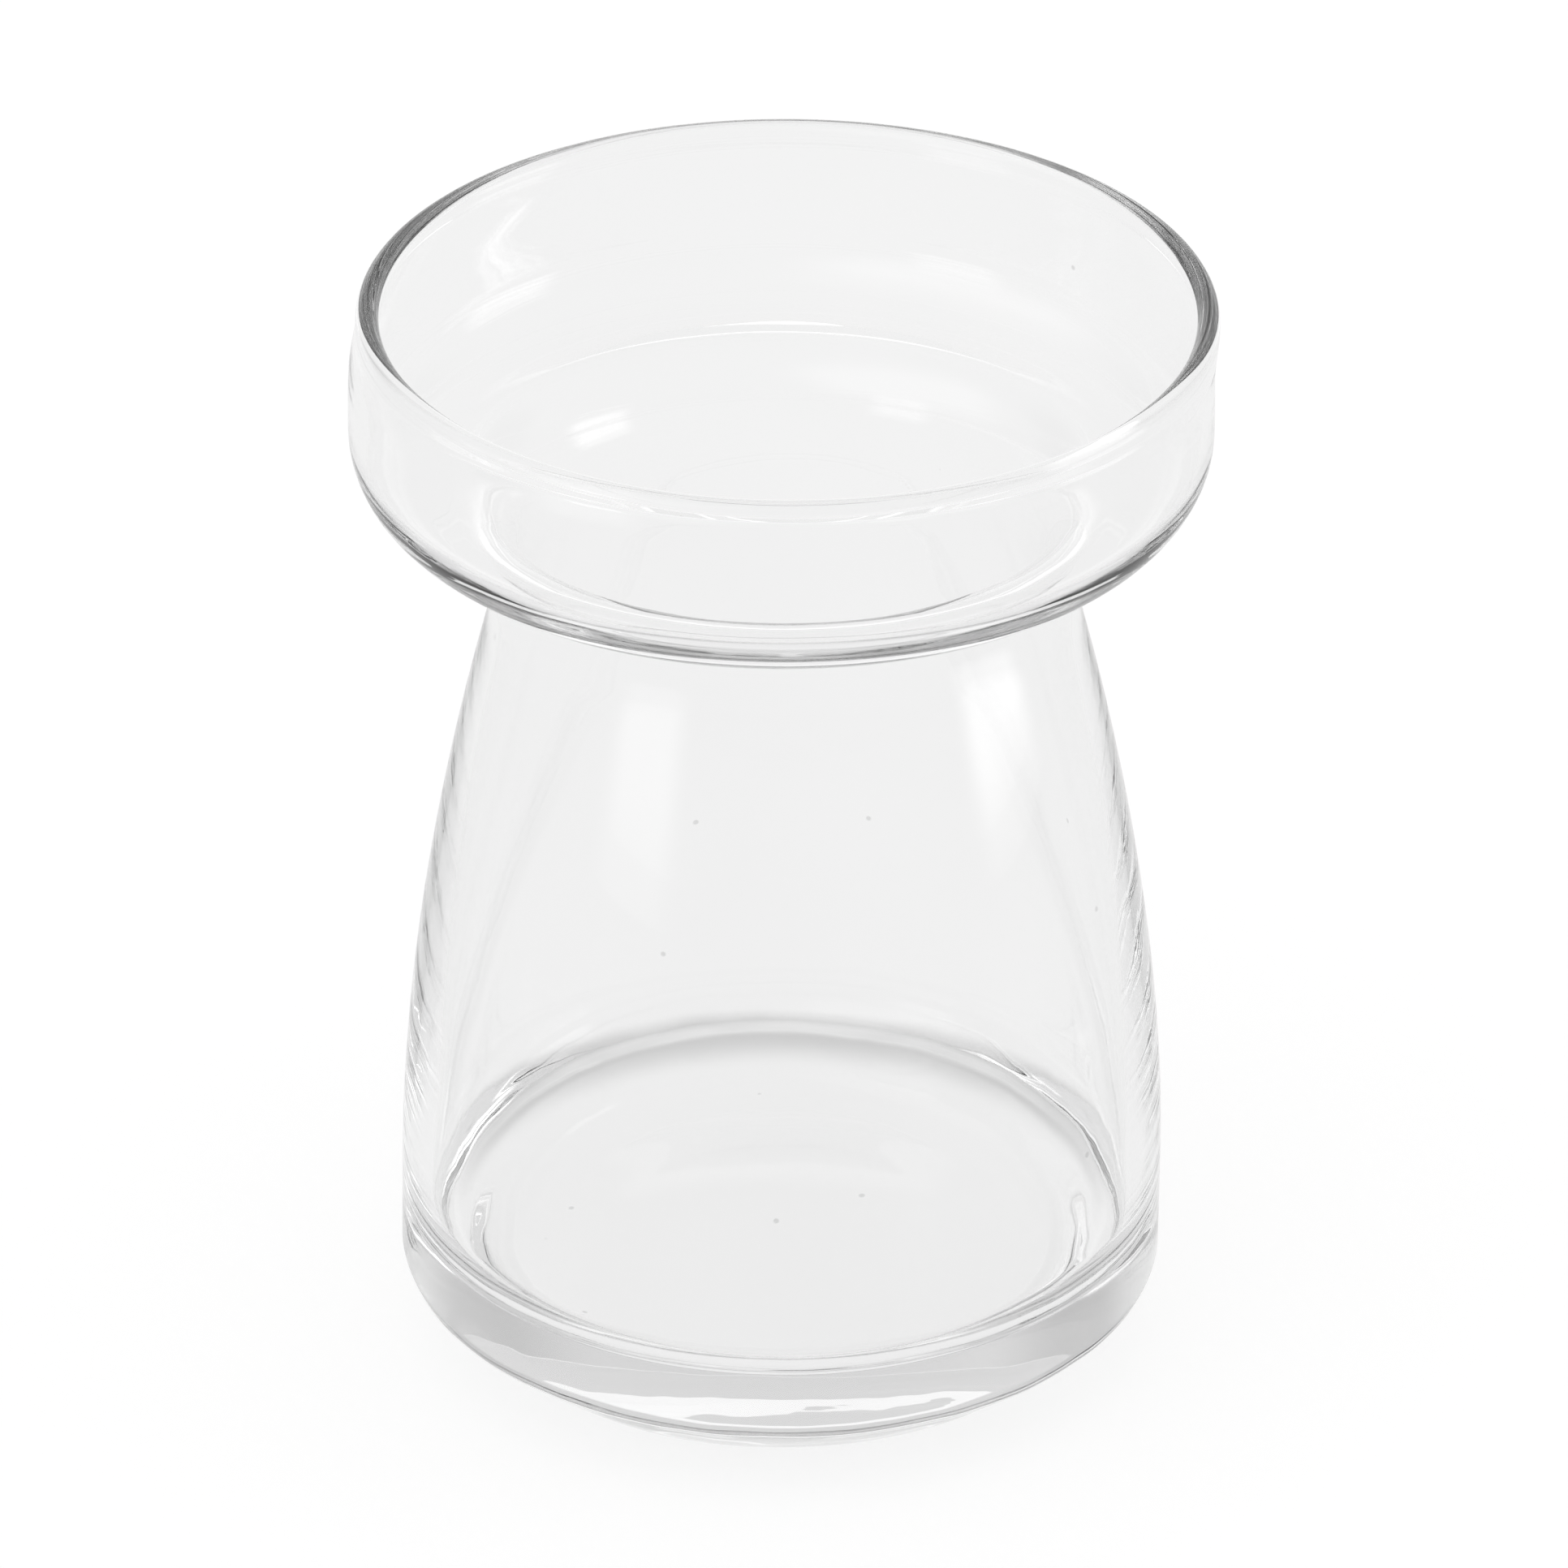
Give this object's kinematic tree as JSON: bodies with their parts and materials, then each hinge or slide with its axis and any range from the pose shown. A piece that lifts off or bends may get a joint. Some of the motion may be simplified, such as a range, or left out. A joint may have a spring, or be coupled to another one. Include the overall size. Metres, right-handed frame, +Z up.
{
  "type": "bulb vase",
  "caption": "Clear glass bulb vase: a wide shallow cup over a narrow throat, a bell-shaped body and a thick solid base that rests on a flat foot ring.",
  "frame": {"origin": "on the table under the vase's axis, in the plane of the foot ring", "axes": "+Z up along the axis that the glass is turned round; +X to the right as seen in the picture, -Y towards the viewer"},
  "size_m": [0.1004, 0.1004, 0.1345],
  "materials": {
    "clear_glass": "clear colourless soda-lime glass, fire-polished, with slight mould waviness"
  },
  "bodies": {
    "root": {"base": "clear_glass", "body": "clear_glass", "neck": "clear_glass", "cup_floor": "clear_glass", "cup_wall": "clear_glass", "lip": "clear_glass"}
  },
  "joints": []
}
